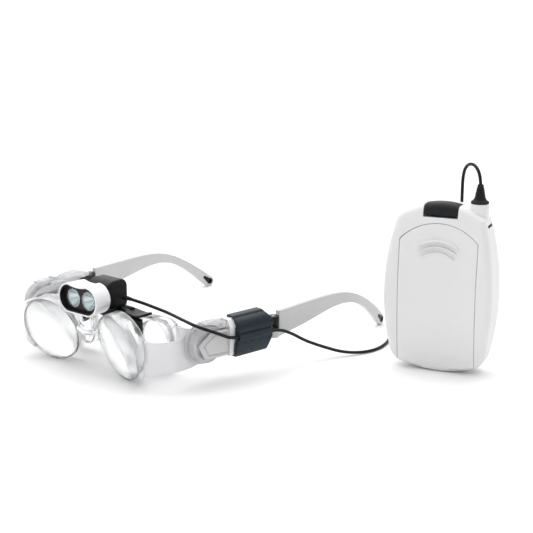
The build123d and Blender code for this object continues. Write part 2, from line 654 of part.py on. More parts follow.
def lamp_bracket():
    """The black saddle that hooks over the eyepiece frame's bridge and carries the lamp."""
    front = [(0, 32.9), (9, 32.7), (16, 31.0), (21.5, 29.4), (23.4, 28.9), (23.6, 19.2), (20.6, 20.8)]
    front += [(16.4, 26.6), (8.6, 27.4), (0, 27.4)]
    half = prism_y(front, 14.4, EYE_Y - 0.3)
    top = [(0, 32.9), (9, 32.7), (16, 31.9), (21.4, 31.5), (24.6, 32.3), (25.0, 31.0), (21.6, 30.75)]
    top += [(0, 30.75)]
    half += prism_y(top, 14.8, 24.6)
    saddle = half + mirror(half, about=Plane.YZ)
    for y in (20.9, 22.3):
        saddle += box_between((-13, y, 31.2), (13, y + 0.6, 33.2))
    saddle -= rod((0, 16.0, 20), (0, 16.0, 33.5), 1.1)
    return saddle - box_between((-5.7, 11.5, 32.95), (5.7, 20.5, 40))


def strain_relief():
    """The tapered sleeve where the lead leaves the drum, ringed with grooves."""
    axis = Vector(*CORD_EXIT) - Vector(*CORD_EXIT_IN)
    plane = Plane(CORD_EXIT_IN, z_dir=axis)
    length = axis.length
    sleeve = extrude(plane * Circle(1.42), length - 3.0)
    sleeve += plane * Pos(0, 0, length - 1.75) * Cone(1.42, 1.15, 2.5)
    return sleeve - extrude(plane.offset(length - 2.0) * Circle(CORD_R + 0.08), 4)


add("lamp_bracket", lamp_bracket())
add("bracket_screw", rod((0, 16.0, 27.6), (0, 16.0, 32.9), 1.08))
add("lamp_drum", lamp_drum())
add("lamp_pin", rod((-6.1, DRUM_Y, DRUM_Z), (6.1, DRUM_Y, DRUM_Z), AXLE_R))
add("strain_relief", strain_relief())
add("lamp_shell", lamp_shell())
add("lamp_bezel", lamp_bezel())
add("led_board", led_board())
add("tilt_tongue", tilt_tongue())
for side, sign in SIDES.items():
    add(f"reflector_{side}", reflector(sign * REFLECTOR_X))
    add(f"led_emitter_{side}", led_emitter(sign * REFLECTOR_X))
    add(f"lamp_window_{side}", lamp_window(sign * REFLECTOR_X))


# --- Cord clip ----------------------------------------------------------------------------------------------

GROOVE_START = (82.3, 33.2, 25.3)
GROOVE_END = (82.3, 63.0, 24.9)


def cord_clip():
    """The slate-blue C-shaped clip that snaps over the left side housing and holds the lead in a groove."""
    profile = make_face(
        Polyline((73.0, 34.7), (73.0, 36.4), (76.6, 36.4))
        + ThreePointArc((76.6, 36.4), (78.0, 35.9), (78.5, 35.2))
        + ThreePointArc((78.5, 35.2), (82.2, 32.6), (83.4, 28.0))
        + Polyline((83.4, 28.0), (82.7, 27.4), (82.7, 26.9), (83.5, 26.5), (83.5, 23.6), (82.9, 23.0))
        + ThreePointArc((82.9, 23.0), (82.7, 18.6), (81.0, 14.4))
        + Polyline((81.0, 14.4), (75.2, 14.0), (75.2, 14.9), (79.4, 14.9), (80.25, 16.0), (80.25, 31.2))
        + Polyline((80.25, 31.2), (78.1, 35.4), (77.2, 35.6), (74.6, 35.6), (74.6, 34.7), (73.0, 34.7))
    )
    clip = extrude(Plane.XZ.offset(-66) * profile, 40)
    side = [(36.6, 40), (56.0, 40), (60.8, 32.0), (61.2, 22.5), (59.2, 18.0), (57.5, 12), (36.5, 12)]
    clip &= prism_x(side + [(36.0, 18), (37.1, 24.5), (37.0, 31)], 60, 90)
    return clip - rod(GROOVE_START, GROOVE_END, CORD_R + 0.2)


add("cord_clip", toed(cord_clip()))


# --- Battery box --------------------------------------------------------------------------------------------


def box_outline():
    """The box seen from the front, as (x, z): bowed sides, a low arch on top and a rocker bottom."""
    low = (25.6, 5.4)
    high = (24.2, 86.6)
    face = make_face(
        ThreePointArc((-low[0], low[1]), (0, 0), low)
        + ThreePointArc(low, (30.3, 46), high)
        + ThreePointArc(high, (0, BOX_H), (-high[0], high[1]))
        + ThreePointArc((-high[0], high[1]), (-30.3, 46), (-low[0], low[1]))
    )
    corners = face.vertices().sort_by(Axis.Y)
    face = fillet(corners[2:], 4.0)
    return fillet(face.vertices().sort_by(Axis.Y)[:2], 8.0)


def box_side_view():
    """The box seen from the side, as (y, z): a crowned front and a flatter back."""
    return make_face(
        Polyline((-7.6, 0), (8.0, 0))
        + ThreePointArc((8.0, 0), (BOX_BACK, 48), (8.2, 95))
        + Polyline((8.2, 95), (-6.6, 95))
        + ThreePointArc((-6.6, 95), (-BOX_FRONT, 50), (-7.6, 0))
    )


def box_body():
    """The whole outer form of the box, without its collar."""
    body = extrude(Plane.XZ.offset(-20) * box_outline(), 40)
    body &= extrude(Plane.YZ.offset(-40) * box_side_view(), 80)
    return fillet(body.edges(), BOX_EDGE_R)


def lid_outline(margin):
    """The lid seen from the front, as (x, z): straight sides and an arched top, open downwards."""
    half = LID_W / 2 - margin
    return make_face(
        Polyline((-half, 74.0 - margin), (-half, -5), (half, -5), (half, 74.0 - margin))
        + ThreePointArc((half, 74.0 - margin), (0, 83.7 - margin), (-half, 74.0 - margin))
    )


def switch_outline(margin):
    """The power switch seen from above, as (x, y), slightly narrower at the front."""
    back = 9.9 - margin
    front = 9.2 - margin
    back_y = BOX_SPLIT_Y - margin
    return make_face(Polyline((-back, back_y), (-front, -20), (front, -20), (back, back_y), close=True))


BODY = box_body()
LID_ROOM = extrude(Plane.XZ.offset(-LID_PLANE_Y) * lid_outline(0.0), 20)
LID_ROOM += box_between((-LID_W / 2, -30, -5), (LID_W / 2, LID_LIP_Y, LID_LIP_Z))
SWITCH_ROOM = Pos(0, 0, SWITCH_FLOOR_Z) * extrude(switch_outline(0.0), 20)
FRONT_HALF = box_between((-50, -30, -10), (50, BOX_SPLIT_Y, 120))
BACK_HALF = box_between((-50, BOX_SPLIT_Y, -10), (50, 30, 120))
CAVITY = fillet(box_between((-25.4, -5.4, 7), (25.4, 8.6, 84.0)).edges(), 1.5)
PLUG_BORE = rod((COLLAR_X, 0, 70), (COLLAR_X, 0, 110), 3.4)
BOSSES = [(-21.5, 13.0), (21.5, 13.0), (-20.0, 78.5), (20.0, 74.5)]


def box_front_shell():
    """The front half of the case, with its open cell bay behind the lid and the half collar for the plug."""
    shell = BODY & FRONT_HALF
    shell -= LID_ROOM
    shell -= SWITCH_ROOM
    bay = box_between((-20.4, -30, 12.0), (20.4, 0, 70.6))
    shell -= CAVITY
    shell -= bay
    for x, z in BOSSES:
        post = rod((x, -6.0, z), (x, BOX_SPLIT_Y, z), 2.6) & BODY
        shell += post
        shell -= rod((x, -4.0, z), (x, 4.0, z), 1.0)
    shell += collar()
    return (shell - PLUG_BORE) & box_between((-60, -30, -10), (60, BOX_SPLIT_Y - 0.05, 120))


def collar():
    """The raised round collar at the top corner, bored for the plug."""
    tube = Pos(COLLAR_X, 0, 0) * (rod((0, 0, 80.0), (0, 0, COLLAR_TOP_Z), COLLAR_R))
    tube = fillet(tube.edges().sort_by(Axis.Z)[-1], 0.5)
    return tube - CAVITY


def box_rear_shell():
    """The back half of the case with its countersunk screw holes."""
    shell = (BODY & BACK_HALF) - CAVITY + (collar() & BACK_HALF)
    for x, z in BOSSES:
        post = rod((x, BOX_SPLIT_Y, z), (x, 10.5, z), 2.9) & BODY
        shell += post
        shell -= rod((x, 0, z), (x, 20, z), 1.25)
        shell -= rod((x, 6.0, z), (x, 20, z), 2.3)
    return shell - PLUG_BORE


def box_screws():
    """Four identical case screws."""
    screws = []
    for x, z in BOSSES:
        screws.append(rod((x, -3.0, z), (x, 6.05, z), 0.95) + rod((x, 6.0, z), (x, 7.6, z), 2.1))
    return Compound(children=[s.solid() for s in screws])


def battery_lid():
    """The sliding front lid with its bottom lip and three shallow finger ridges."""
    room = extrude(Plane.XZ.offset(-LID_PLANE_Y + 0.3) * lid_outline(LID_GAP), 20)
    half = LID_W / 2 - LID_GAP
    room += box_between((-half, -30, -5), (half, LID_LIP_Y - LID_GAP, LID_LIP_Z - LID_GAP))
    lid = BODY & room
    for index in range(3):
        level = 71.0 - 3.2 * index
        ridge = trace(ThreePointArc((-11 + index, level), (0, level + 3.4), (11 - index, level)), 0.7)
        ridge = extrude(Plane.XZ.offset(9) * ridge, 3.05)
        lid += ridge & extrude(Plane.XZ.offset(8) * lid_outline(1), 20)
    return lid


def power_switch():
    """The dark switch cap that wraps over the top edge of the case."""
    return BODY & Pos(0, 0, SWITCH_FLOOR_Z + 1.2) * extrude(switch_outline(0.3), 20)


def power_cells():
    """Three cylindrical cells with small positive caps, standing side by side in the bay."""
    low_z = 20.0
    cells = []
    for index in range(3):
        x = (index - 1) * CELL_PITCH
        cell = fillet(rod((x, 1.0, low_z), (x, 1.0, low_z + CELL_L - 1.0), CELL_R).edges(), 0.4)
        cells.append(cell + rod((x, 1.0, low_z + CELL_L - 1.1), (x, 1.0, low_z + CELL_L), 1.9))
    return Compound(children=[cell.solid() for cell in cells])


def cell_contacts():
    """A row of three contact plates at each end of the cells."""
    plates = []
    for low_z, high_z in ((19.3, 19.9), (64.6, 65.2)):
        for index in range(3):
            x = (index - 1) * CELL_PITCH
            plates.append(box_between((x - 4.8, -3.2, low_z), (x + 4.8, 5.2, high_z)))
    return Compound(children=[plate.solid() for plate in plates])


def circuit_board():
    """The lamp's driver board under the switch, with a coil and a chip."""
    board = box_between((-17, 3.6, 72.6), (12.5, 5.2, 83.0))
    board += rod((-9, 3.7, 77.5), (-9, 0.8, 77.5), 3.0)
    return board + box_between((-2.5, 2.4, 75.5), (3.0, 3.7, 79.5))


def jack_socket():
    """The plug socket inside the collar."""
    body = rod((COLLAR_X, 0, 83.0), (COLLAR_X, 0, 92.0), 3.38)
    return body - rod((COLLAR_X, 0, 84.5), (COLLAR_X, 0, 95), 2.05)


def plug_boot():
    """The lead's plug: its barrel in the socket and the flared boot on the collar."""
    foot = COLLAR_TOP_Z + 0.05
    profile = make_face(
        Polyline((0, foot), (4.9, foot), (4.9, foot + 0.9))
        + Spline((4.9, foot + 0.9), (3.2, foot + 2.4), (2.2, foot + 5.2), (1.75, foot + BOOT_H))
        + Polyline((1.75, foot + BOOT_H), (0, foot + BOOT_H), (0, foot))
    )
    boot = Pos(COLLAR_X, 0, 0) * revolve(Plane.XZ * profile, Axis.Z)
    boot += rod((COLLAR_X, 0, 85.5), (COLLAR_X, 0, foot + 0.5), 2.0)
    return boot - rod((COLLAR_X, 0, foot + BOOT_H - 3.05), (COLLAR_X, 0, foot + BOOT_H + 1), CORD_R + 0.08)


add_to_box("box_front_shell", box_front_shell())
add_to_box("box_rear_shell", box_rear_shell())
add_to_box("box_screws", box_screws())
add_to_box("battery_lid", battery_lid())
add_to_box("power_switch", power_switch())
add_to_box("power_cells", power_cells())
add_to_box("cell_contacts", cell_contacts())
add_to_box("circuit_board", circuit_board())
add_to_box("jack_socket", jack_socket())
add_to_box("plug_boot", plug_boot())


# --- Lead ---------------------------------------------------------------------------------------------------

# From the strain relief, over the left side housing, through the clip's groove, down to the floor and round
# behind the battery box to the coil
LEAD_ROUTE = [
    (-39.05, -64.12, 38.41),
    (-32.90, -60.34, 36.49),
    (-25.4, -57.9, 34.5),
    (-14.9, -57.9, 33.5),
    (3.6, -66.2, 35.0),
    (20.6, -72.2, 35.5),
    (25.2, -65.2, 32.0),
    (26.9, -58.6, 28.8),
    (28.33, -52.14, 25.3),
    (32.60, -21.73, 24.9),
    (33.8, -10.2, 20.2),
    (35.3, 0.8, 13.2),
    (39.3, 12.8, 7.4),
    (44.5, 23.8, 2.6),
    (50.8, 34.0, 0.95),
    (54.2, 46.8, 0.95),
    (50.0, 63.3, 0.95),
    (41.8, 76.3, 0.95),
    (41.3, 89.3, 0.95),
    (51.3, 96.3, 0.95),
    (64.8, 91.5, 0.95),
    (76.3, 86.6, 1.1),
    (86.7, 85.6, 1.3),
]

# From the coil, up the back of the battery box, over its top in one loop and down into the plug's boot
TAIL_ROUTE = [
    (100.1, 72.2, 3.2),
    (99.8, 65.2, 3.0),
    (99.3, 59.0, 6.4),
    (98.9, 57.6, 13.6),
    (99.4, 58.4, 27.0),
    (98.8, 57.9, 49.0),
    (99.3, 58.3, 71.0),
    (99.0, 58.1, 93.0),
    (99.0, 58.2, 108.5),
    (103.9, 55.4, 114.2),
    (110.9, 51.4, 114.2),
    (115.8, 48.6, 108.5),
    (115.8, 48.6, 101.8),
]


def cord_tube(name, route):
    """A round cord along straight runs joined by tangent arcs, as large as the runs allow."""
    points = [Vector(*point) for point in route]
    runs = [end - start for start, end in zip(points, points[1:])]
    radii = []
    for before, after in zip(runs, runs[1:]):
        half_turn = radians(before.get_angle(after)) / 2
        radii.append(0.45 * min(before.length, after.length) / tan(half_turn))
    path = FilletPolyline(*route, radius=radii)
    tube = sweep(Plane(path @ 0, z_dir=path % 0) * Circle(CORD_R), path=path)
    print(name, "radii", [round(radius, 1) for radius in radii], "length", round(path.length, 1))
    print(name, "volume", round(tube.volume, 1), "section x length", round(pi * CORD_R**2 * path.length, 1))
    return tube


def cord_coil():
    """The outer shape of the stored coil: two flat layers of turns that lie on the floor."""
    inner_r = COIL_OUT_R - COIL_PITCH * COIL_TURNS / 2 - CORD_R
    section = Rectangle(COIL_OUT_R + CORD_R - inner_r, COIL_PITCH + 2 * CORD_R, align=(Align.MIN, Align.MIN))
    section = fillet(section.vertices(), CORD_R - 0.1)
    ring = revolve(Plane.XZ * (Pos(inner_r, COIL_LOW_Z) * section), Axis.Z)
    return Pos(COIL_X, COIL_Y, 0) * ring


def coil_tie():
    """The flat tie round the coil's turns, on the side away from the battery box."""
    inner_r = COIL_OUT_R - COIL_PITCH * COIL_TURNS / 2 - CORD_R
    high_z = COIL_LOW_Z + COIL_PITCH + 2 * CORD_R
    band = box_between((inner_r - 0.8, -1.6, 0), (COIL_OUT_R + CORD_R + 0.4, 1.6, high_z + 0.4))
    band -= box_between((inner_r - 0.4, -5, COIL_LOW_Z - 0.05),
                        (COIL_OUT_R + CORD_R + 0.05, 5, high_z + 0.05))
    return Pos(COIL_X, COIL_Y, 0) * Rotation(0, 0, 205) * band


parts["cord_lead"] = cord_tube("cord_lead", LEAD_ROUTE)
parts["cord_coil"] = cord_coil()
parts["coil_tie"] = coil_tie()
parts["cord_tail"] = cord_tube("cord_tail", TAIL_ROUTE)

CORD_NODES = {"cord_lead", "cord_coil", "coil_tie", "cord_tail", "plug_boot"}
os.makedirs("parts", exist_ok=True)
low = [1e9, 1e9, 1e9]
high = [-1e9, -1e9, -1e9]
for name, shape in parts.items():
    export_step(shape, f"parts/{name}.step")
    extent = shape.bounding_box()
    if name not in CORD_NODES:
        low = [min(a, b) for a, b in zip(low, extent.min)]
        high = [max(a, b) for a, b in zip(high, extent.max)]
print(len(parts), "nodes, bounds without the cord", [round(v, 2) for v in low], [round(v, 2) for v in high])
print("bottom centre", round((low[0] + high[0]) / 2, 2), round((low[1] + high[1]) / 2, 2), round(low[2], 2))
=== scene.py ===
"""Looks of the magnifying spectacles, their lamp, lead and battery box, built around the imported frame.

Metres, +Z up. The spectacles look along -Y and the wearer's left is +X.
"""

import json
import math

import bmesh
import bpy
from mathutils import Matrix, Vector


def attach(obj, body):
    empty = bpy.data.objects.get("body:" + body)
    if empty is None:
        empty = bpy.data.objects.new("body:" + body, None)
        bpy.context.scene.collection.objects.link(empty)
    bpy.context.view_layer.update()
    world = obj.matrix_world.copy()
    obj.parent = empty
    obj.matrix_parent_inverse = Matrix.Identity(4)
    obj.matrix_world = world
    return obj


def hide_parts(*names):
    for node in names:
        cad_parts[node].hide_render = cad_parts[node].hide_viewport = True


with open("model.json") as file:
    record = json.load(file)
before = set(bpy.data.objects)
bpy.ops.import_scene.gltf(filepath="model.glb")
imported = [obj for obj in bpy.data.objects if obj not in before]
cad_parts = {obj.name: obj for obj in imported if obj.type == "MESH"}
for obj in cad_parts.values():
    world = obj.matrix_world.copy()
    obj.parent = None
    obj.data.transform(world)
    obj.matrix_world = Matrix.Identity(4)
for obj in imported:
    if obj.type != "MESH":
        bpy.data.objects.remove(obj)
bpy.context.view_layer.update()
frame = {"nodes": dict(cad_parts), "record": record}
nodes = frame["nodes"]
MM = 0.001


# --- Stage: camera, floor and studio light --------------------------------------------------------


def look_at(obj, target):
    """Turns a camera or a lamp so that it looks at a point, with +Z up."""
    obj.rotation_euler = (Vector(target) - obj.location).to_track_quat("-Z", "Y").to_euler()


def add_camera():
    """The camera at the viewing angle, without depth of field."""
    data = bpy.data.cameras.new("camera")
    data.sensor_width = 36.0
    data.lens = 81.07
    data.clip_start = 0.01
    camera = bpy.data.objects.new("camera", data)
    bpy.context.scene.collection.objects.link(camera)
    camera.location = (0.4341, -0.5064, 0.2165)
    look_at(camera, (-0.0725, 0.0973, 0.020))
    data.shift_x = -0.0034
    data.shift_y = 0.0013
    bpy.context.scene.camera = camera


def add_area_light(name, location, target, size, power, colour=(1, 1, 1)):
    """One soft box."""
    data = bpy.data.lights.new(name, "AREA")
    data.shape = "RECTANGLE"
    data.size, data.size_y = size
    data.energy = power
    data.color = colour
    light = bpy.data.objects.new(name, data)
    bpy.context.scene.collection.objects.link(light)
    light.location = location
    look_at(light, target)


def add_sun(name, direction, strength, angle):
    """A very soft sun that lights the whole floor evenly."""
    data = bpy.data.lights.new(name, "SUN")
    data.energy = strength
    data.angle = math.radians(angle)
    light = bpy.data.objects.new(name, data)
    bpy.context.scene.collection.objects.link(light)
    light.rotation_euler = Vector(direction).to_track_quat("-Z", "Y").to_euler()


def add_world():
    """Studio surroundings: a white sweep behind and above, greyer walls elsewhere."""
    world = bpy.data.worlds.new("studio")
    world.use_nodes = True
    tree = world.node_tree
    background = tree.nodes["Background"]
    coordinates = tree.nodes.new("ShaderNodeTexCoord")
    direction = tree.nodes.new("ShaderNodeSeparateXYZ")
    tree.links.new(coordinates.outputs["Generated"], direction.inputs["Vector"])
    away = tree.nodes.new("ShaderNodeVectorMath")
    away.operation = "DOT_PRODUCT"
    away.inputs[1].default_value = (-0.643, 0.766, 0.0)
    tree.links.new(coordinates.outputs["Generated"], away.inputs[0])
    behind = ranged(tree, away.outputs["Value"], -0.35, 0.5, 0.0, 1.0)
    overhead = ranged(tree, direction.outputs["Z"], 0.2, 0.85, 0.0, 1.0)
    wall = mixed(tree, behind, (0.40, 0.40, 0.41), (1.06, 1.06, 1.06))
    tree.links.new(mixed(tree, overhead, wall, (0.98, 0.98, 0.98)), background.inputs["Color"])
    bpy.context.scene.world = world


def link_mesh(name, bm):
    """Makes an object from a bmesh, in the shared frame."""
    mesh = bpy.data.meshes.new(name)
    bm.to_mesh(mesh)
    bm.free()
    obj = bpy.data.objects.new(name, mesh)
    bpy.context.scene.collection.objects.link(obj)
    return obj


def add_floor():
    """A pale floor that reaches far past the view."""
    bm = bmesh.new()
    bmesh.ops.create_grid(bm, x_segments=4, y_segments=4, size=6.0)
    floor = link_mesh("floor", bm)
    floor.location.z = -0.0001
    floor.data.materials.append(floor_material())


# --- Material building blocks ---------------------------------------------------------------------


def new_material(name):
    """A node material with its principled shader."""
    material = bpy.data.materials.new(name)
    material.use_nodes = True
    return material, material.node_tree, material.node_tree.nodes["Principled BSDF"]


def object_noise(tree, scale, detail=2.0, roughness=0.5, stretch=(1, 1, 1)):
    """Noise in the piece's own coordinates; scale is in cells per metre."""
    coordinates = tree.nodes.new("ShaderNodeTexCoord")
    mapping = tree.nodes.new("ShaderNodeMapping")
    mapping.inputs["Scale"].default_value = stretch
    noise = tree.nodes.new("ShaderNodeTexNoise")
    noise.inputs["Scale"].default_value = scale
    noise.inputs["Detail"].default_value = detail
    noise.inputs["Roughness"].default_value = roughness
    tree.links.new(coordinates.outputs["Object"], mapping.inputs["Vector"])
    tree.links.new(mapping.outputs["Vector"], noise.inputs["Vector"])
    return noise


def ranged(tree, socket, low, high, out_low, out_high):
    """Maps a value from one range to another, clamped."""
    node = tree.nodes.new("ShaderNodeMapRange")
    node.inputs["From Min"].default_value = low
    node.inputs["From Max"].default_value = high
    node.inputs["To Min"].default_value = out_low
    node.inputs["To Max"].default_value = out_high
    tree.links.new(socket, node.inputs["Value"])
    return node.outputs["Result"]


def mixed(tree, factor, first, second):
    """Mixes two colours by a factor socket. Each colour is a tuple or a socket."""
    node = tree.nodes.new("ShaderNodeMix")
    node.data_type = "RGBA"
    tree.links.new(factor, node.inputs["Factor"])
    for name, colour in (("A", first), ("B", second)):
        socket = [s for s in node.inputs if s.name == name and s.type == "RGBA"][0]
        if isinstance(colour, tuple):
            socket.default_value = (*colour, 1)
        else:
            tree.links.new(colour, socket)
    return [s for s in node.outputs if s.type == "RGBA"][0]


def bump(tree, height, strength, distance, before=None):
    """A bump node on a height socket, chained on another bump's normal."""
    node = tree.nodes.new("ShaderNodeBump")
    node.inputs["Strength"].default_value = strength
    node.inputs["Distance"].default_value = distance
    tree.links.new(height, node.inputs["Height"])
    if before is not None:
        tree.links.new(before, node.inputs["Normal"])
    return node.outputs["Normal"]


def edge_mask(tree, low, high):
    """How much a point lies on a raised edge, from the surface's pointiness."""
    geometry = tree.nodes.new("ShaderNodeNewGeometry")
    return ranged(tree, geometry.outputs["Pointiness"], low, high, 0.0, 1.0)


def moulded(
    name,
    colour,
    rough=0.4,
    grain=2600.0,
    grain_depth=0.00002,
    worn=None,
    spread=0.03,
    edge=0.0003,
    **sockets,
):
    """Moulded plastic or rubber: fine grain, slow colour drift, smudged gloss and paler edges."""
    material, tree, shader = new_material(name)
    drift = object_noise(tree, 45.0, 3.0)
    dark = tuple(max(0.0, c * (1 - spread)) for c in colour)
    light = tuple(min(1.0, c * (1 + spread)) for c in colour)
    base = mixed(tree, ranged(tree, drift.outputs["Fac"], 0.35, 0.65, 0, 1), dark, light)
    if worn is not None:
        base = mixed(tree, edge_mask(tree, 0.52, 0.62), base, worn)
    tree.links.new(base, shader.inputs["Base Color"])
    smudge = object_noise(tree, 160.0, 4.0, 0.6)
    gloss = ranged(tree, smudge.outputs["Fac"], 0.3, 0.7, rough * 0.85, min(1.0, rough * 1.18))
    tree.links.new(gloss, shader.inputs["Roughness"])
    fine = object_noise(tree, grain, 2.0, 0.6)
    rounded = tree.nodes.new("ShaderNodeBevel")
    rounded.samples = 4
    rounded.inputs["Radius"].default_value = edge
    grained = bump(tree, fine.outputs["Fac"], 0.35, grain_depth, rounded.outputs["Normal"])
    tree.links.new(grained, shader.inputs["Normal"])
    for socket, value in sockets.items():
        shader.inputs[socket.replace("_", " ")].default_value = value
    return material


def clear(name, colour, rough, ior=1.49, wave=0.00001, **sockets):
    """Clear moulded acrylic or lens: sharp transmission with faint flow waves."""
    material, tree, shader = new_material(name)
    flow = object_noise(tree, 60.0, 2.0)
    pale = tuple(min(1.0, c * 1.01) for c in colour)
    tint = mixed(tree, ranged(tree, flow.outputs["Fac"], 0.3, 0.7, 0, 1), colour, pale)
    tree.links.new(tint, shader.inputs["Base Color"])
    smudge = object_noise(tree, 220.0, 3.0)
    gloss = ranged(tree, smudge.outputs["Fac"], 0.35, 0.75, rough * 0.6, rough * 1.4)
    tree.links.new(gloss, shader.inputs["Roughness"])
    tree.links.new(bump(tree, flow.outputs["Fac"], 0.2, wave), shader.inputs["Normal"])
    shader.inputs["Transmission Weight"].default_value = 1.0
    shader.inputs["IOR"].default_value = ior
    for socket, value in sockets.items():
        shader.inputs[socket.replace("_", " ")].default_value = value
    return material


def metal(name, colour, rough, scratch=900.0, stretch=(1, 1, 1)):
    """Bare or plated metal with fine directional scratches."""
    material, tree, shader = new_material(name)
    shader.inputs["Metallic"].default_value = 1.0
    tone = object_noise(tree, 120.0, 3.0)
    dark = tuple(c * 0.9 for c in colour)
    base = mixed(tree, ranged(tree, tone.outputs["Fac"], 0.3, 0.7, 0, 1), dark, colour)
    tree.links.new(base, shader.inputs["Base Color"])
    lines = object_noise(tree, scratch, 3.0, 0.7, stretch)
    gloss = ranged(tree, lines.outputs["Fac"], 0.3, 0.7, rough * 0.7, rough * 1.3)
    tree.links.new(gloss, shader.inputs["Roughness"])
    tree.links.new(bump(tree, lines.outputs["Fac"], 0.2, 0.00001), shader.inputs["Normal"])
    return material


def floor_material():
    """Plain pale paper floor."""
    material, tree, shader = new_material("paper_floor")
    grain = object_noise(tree, 300.0, 2.0)
    share = ranged(tree, grain.outputs["Fac"], 0.3, 0.7, 0, 1)
    base = mixed(tree, share, (0.9, 0.9, 0.9), (0.91, 0.91, 0.91))
    tree.links.new(base, shader.inputs["Base Color"])
    shader.inputs["Roughness"].default_value = 0.65
    shader.inputs["Specular IOR Level"].default_value = 0.25
    return material


def carrier_material():
    """The front moulding: clear rims and bow, with frosted panels outside the rims."""
    material, tree, shader = new_material("front_moulding")
    coordinates = tree.nodes.new("ShaderNodeTexCoord")
    split = tree.nodes.new("ShaderNodeSeparateXYZ")
    tree.links.new(coordinates.outputs["Object"], split.inputs["Vector"])
    shifted = tree.nodes.new("ShaderNodeMath")
    shifted.operation = "SUBTRACT"
    shifted.inputs[1].default_value = MIDPLANE_X
    tree.links.new(split.outputs["X"], shifted.inputs[0])
    outward = tree.nodes.new("ShaderNodeMath")
    outward.operation = "ABSOLUTE"
    tree.links.new(shifted.outputs["Value"], outward.inputs[0])
    frost = ranged(tree, outward.outputs["Value"], 43.0 * MM, 50.0 * MM, 0.0, 1.0)
    cloud = object_noise(tree, 70.0, 3.0)
    clouded = ranged(tree, cloud.outputs["Fac"], 0.3, 0.7, 0.0, 1.0)
    frosted = mixed(tree, clouded, (0.865, 0.865, 0.885), (0.895, 0.895, 0.91))
    tree.links.new(mixed(tree, frost, (0.97, 0.975, 0.985), frosted), shader.inputs["Base Color"])
    tree.links.new(ranged(tree, frost, 0.0, 1.0, 0.96, 0.30), shader.inputs["Transmission Weight"])
    tree.links.new(ranged(tree, frost, 0.0, 1.0, 0.10, 0.42), shader.inputs["Roughness"])
    shader.inputs["IOR"].default_value = 1.47
    shader.inputs["Coat Weight"].default_value = 0.35
    shader.inputs["Coat Roughness"].default_value = 0.12
    grain = object_noise(tree, 2200.0, 2.0, 0.6)
    rounded = tree.nodes.new("ShaderNodeBevel")
    rounded.samples = 4
    rounded.inputs["Radius"].default_value = 0.0005
    grained = bump(tree, grain.outputs["Fac"], 0.2, 0.000008, rounded.outputs["Normal"])
    tree.links.new(grained, shader.inputs["Normal"])
    return material


# --- Mesh building blocks -------------------------------------------------------------------------

MIDPLANE_X = -49.0 * MM
SPECS = Matrix.Translation((-49.0 * MM, -84.7 * MM, 0))
BOX = Matrix.Translation((97.4 * MM, 43.1 * MM, 0)) @ Matrix.Rotation(math.radians(16.5), 4, "Z")


def place_piece(obj, body, slot_name, replaced):
    """Gives a finished piece its body and its slot's material, and hides the CAD nodes it stands for."""
    obj.data.materials.clear()
    obj.data.materials.append(MATERIALS[slot_name])
    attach(obj, body)
    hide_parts(*replaced)
    return obj


def shade(obj, angle=35.0):
    """Smooth shading with sharp edges above an angle."""
    obj.data.shade_smooth()
    obj.data.set_sharp_from_angle(angle=math.radians(angle))


def refined(node, width, segments=2, angle=28.0):
    """A copy of a CAD node with joined vertices, rounded edges and smooth shading."""
    bm = bmesh.new()
    bm.from_mesh(nodes[node].data)
    bmesh.ops.remove_doubles(bm, verts=bm.verts, dist=2e-6)
    bmesh.ops.dissolve_limit(bm, angle_limit=math.radians(0.6), verts=bm.verts, edges=bm.edges)
    obj = link_mesh(f"{node}_skin", bm)
    bevel = obj.modifiers.new("rounding", "BEVEL")
    bevel.width = width * MM
    bevel.segments = segments
    bevel.limit_method = "ANGLE"
    bevel.angle_limit = math.radians(angle)
    bevel.use_clamp_overlap = True
    bevel.harden_normals = False
    shade(obj)
    return obj


def bridge_rings(bm, rings, segments):
    """Joins each ring of vertices to the next; a ring of one vertex is a closed end."""
    for low, high in zip(rings, rings[1:]):
        for index in range(segments):
            after = (index + 1) % segments
            quad = [low[index % len(low)], low[after % len(low)]]
            quad += [high[after % len(high)], high[index % len(high)]]
            corners = list(dict.fromkeys(quad))
            if len(corners) > 2:
                bm.faces.new(corners)


def lathe(name, profile, matrix, segments=72, ripple=None):
    """A piece turned from an (r, z) outline in millimetres about local +Z, closed where r is 0."""
    bm = bmesh.new()
    rings = []
    for radius, height in profile:
        ring = []
        if radius < 1e-6:
            ring.append(bm.verts.new(matrix @ Vector((0, 0, height * MM))))
        else:
            for index in range(segments):
                angle = 2 * math.pi * index / segments
                wide = radius if ripple is None else ripple(radius, height, angle)
                x, y = wide * math.cos(angle), wide * math.sin(angle)
                place = Vector((x * MM, y * MM, height * MM))
                ring.append(bm.verts.new(matrix @ place))
        rings.append(ring)
    bridge_rings(bm, rings, segments)
    bmesh.ops.recalc_face_normals(bm, faces=bm.faces)
    obj = link_mesh(name, bm)
    shade(obj)
    return obj


def axis_matrix(point, direction):
    """Places local +Z along a direction from a point, both in millimetres of the spectacles."""
    turn = Vector(direction).to_track_quat("Z", "Y").to_matrix().to_4x4()
    return SPECS @ Matrix.Translation(Vector(point) * MM) @ turn


def lens_profile(radius, edge, crown, steps=22):
    """Outline of a biconvex lens with slightly rounded rims, from the front pole to the back pole."""
    ball = (radius**2 + crown**2) / (2 * crown)
    spots = [radius * k / steps for k in range(steps)]
    cap = [(spot, ball - math.sqrt(ball**2 - spot**2)) for spot in spots]
    top = edge / 2 + crown
    front = [(r, -(top - h)) for r, h in cap]
    rim = [(radius, -edge / 2 + 0.12), (radius, edge / 2 - 0.12)]
    back = [(r, top - h) for r, h in reversed(cap)]
    return front + [(radius - 0.08, -edge / 2)] + rim + [(radius - 0.08, edge / 2)] + back


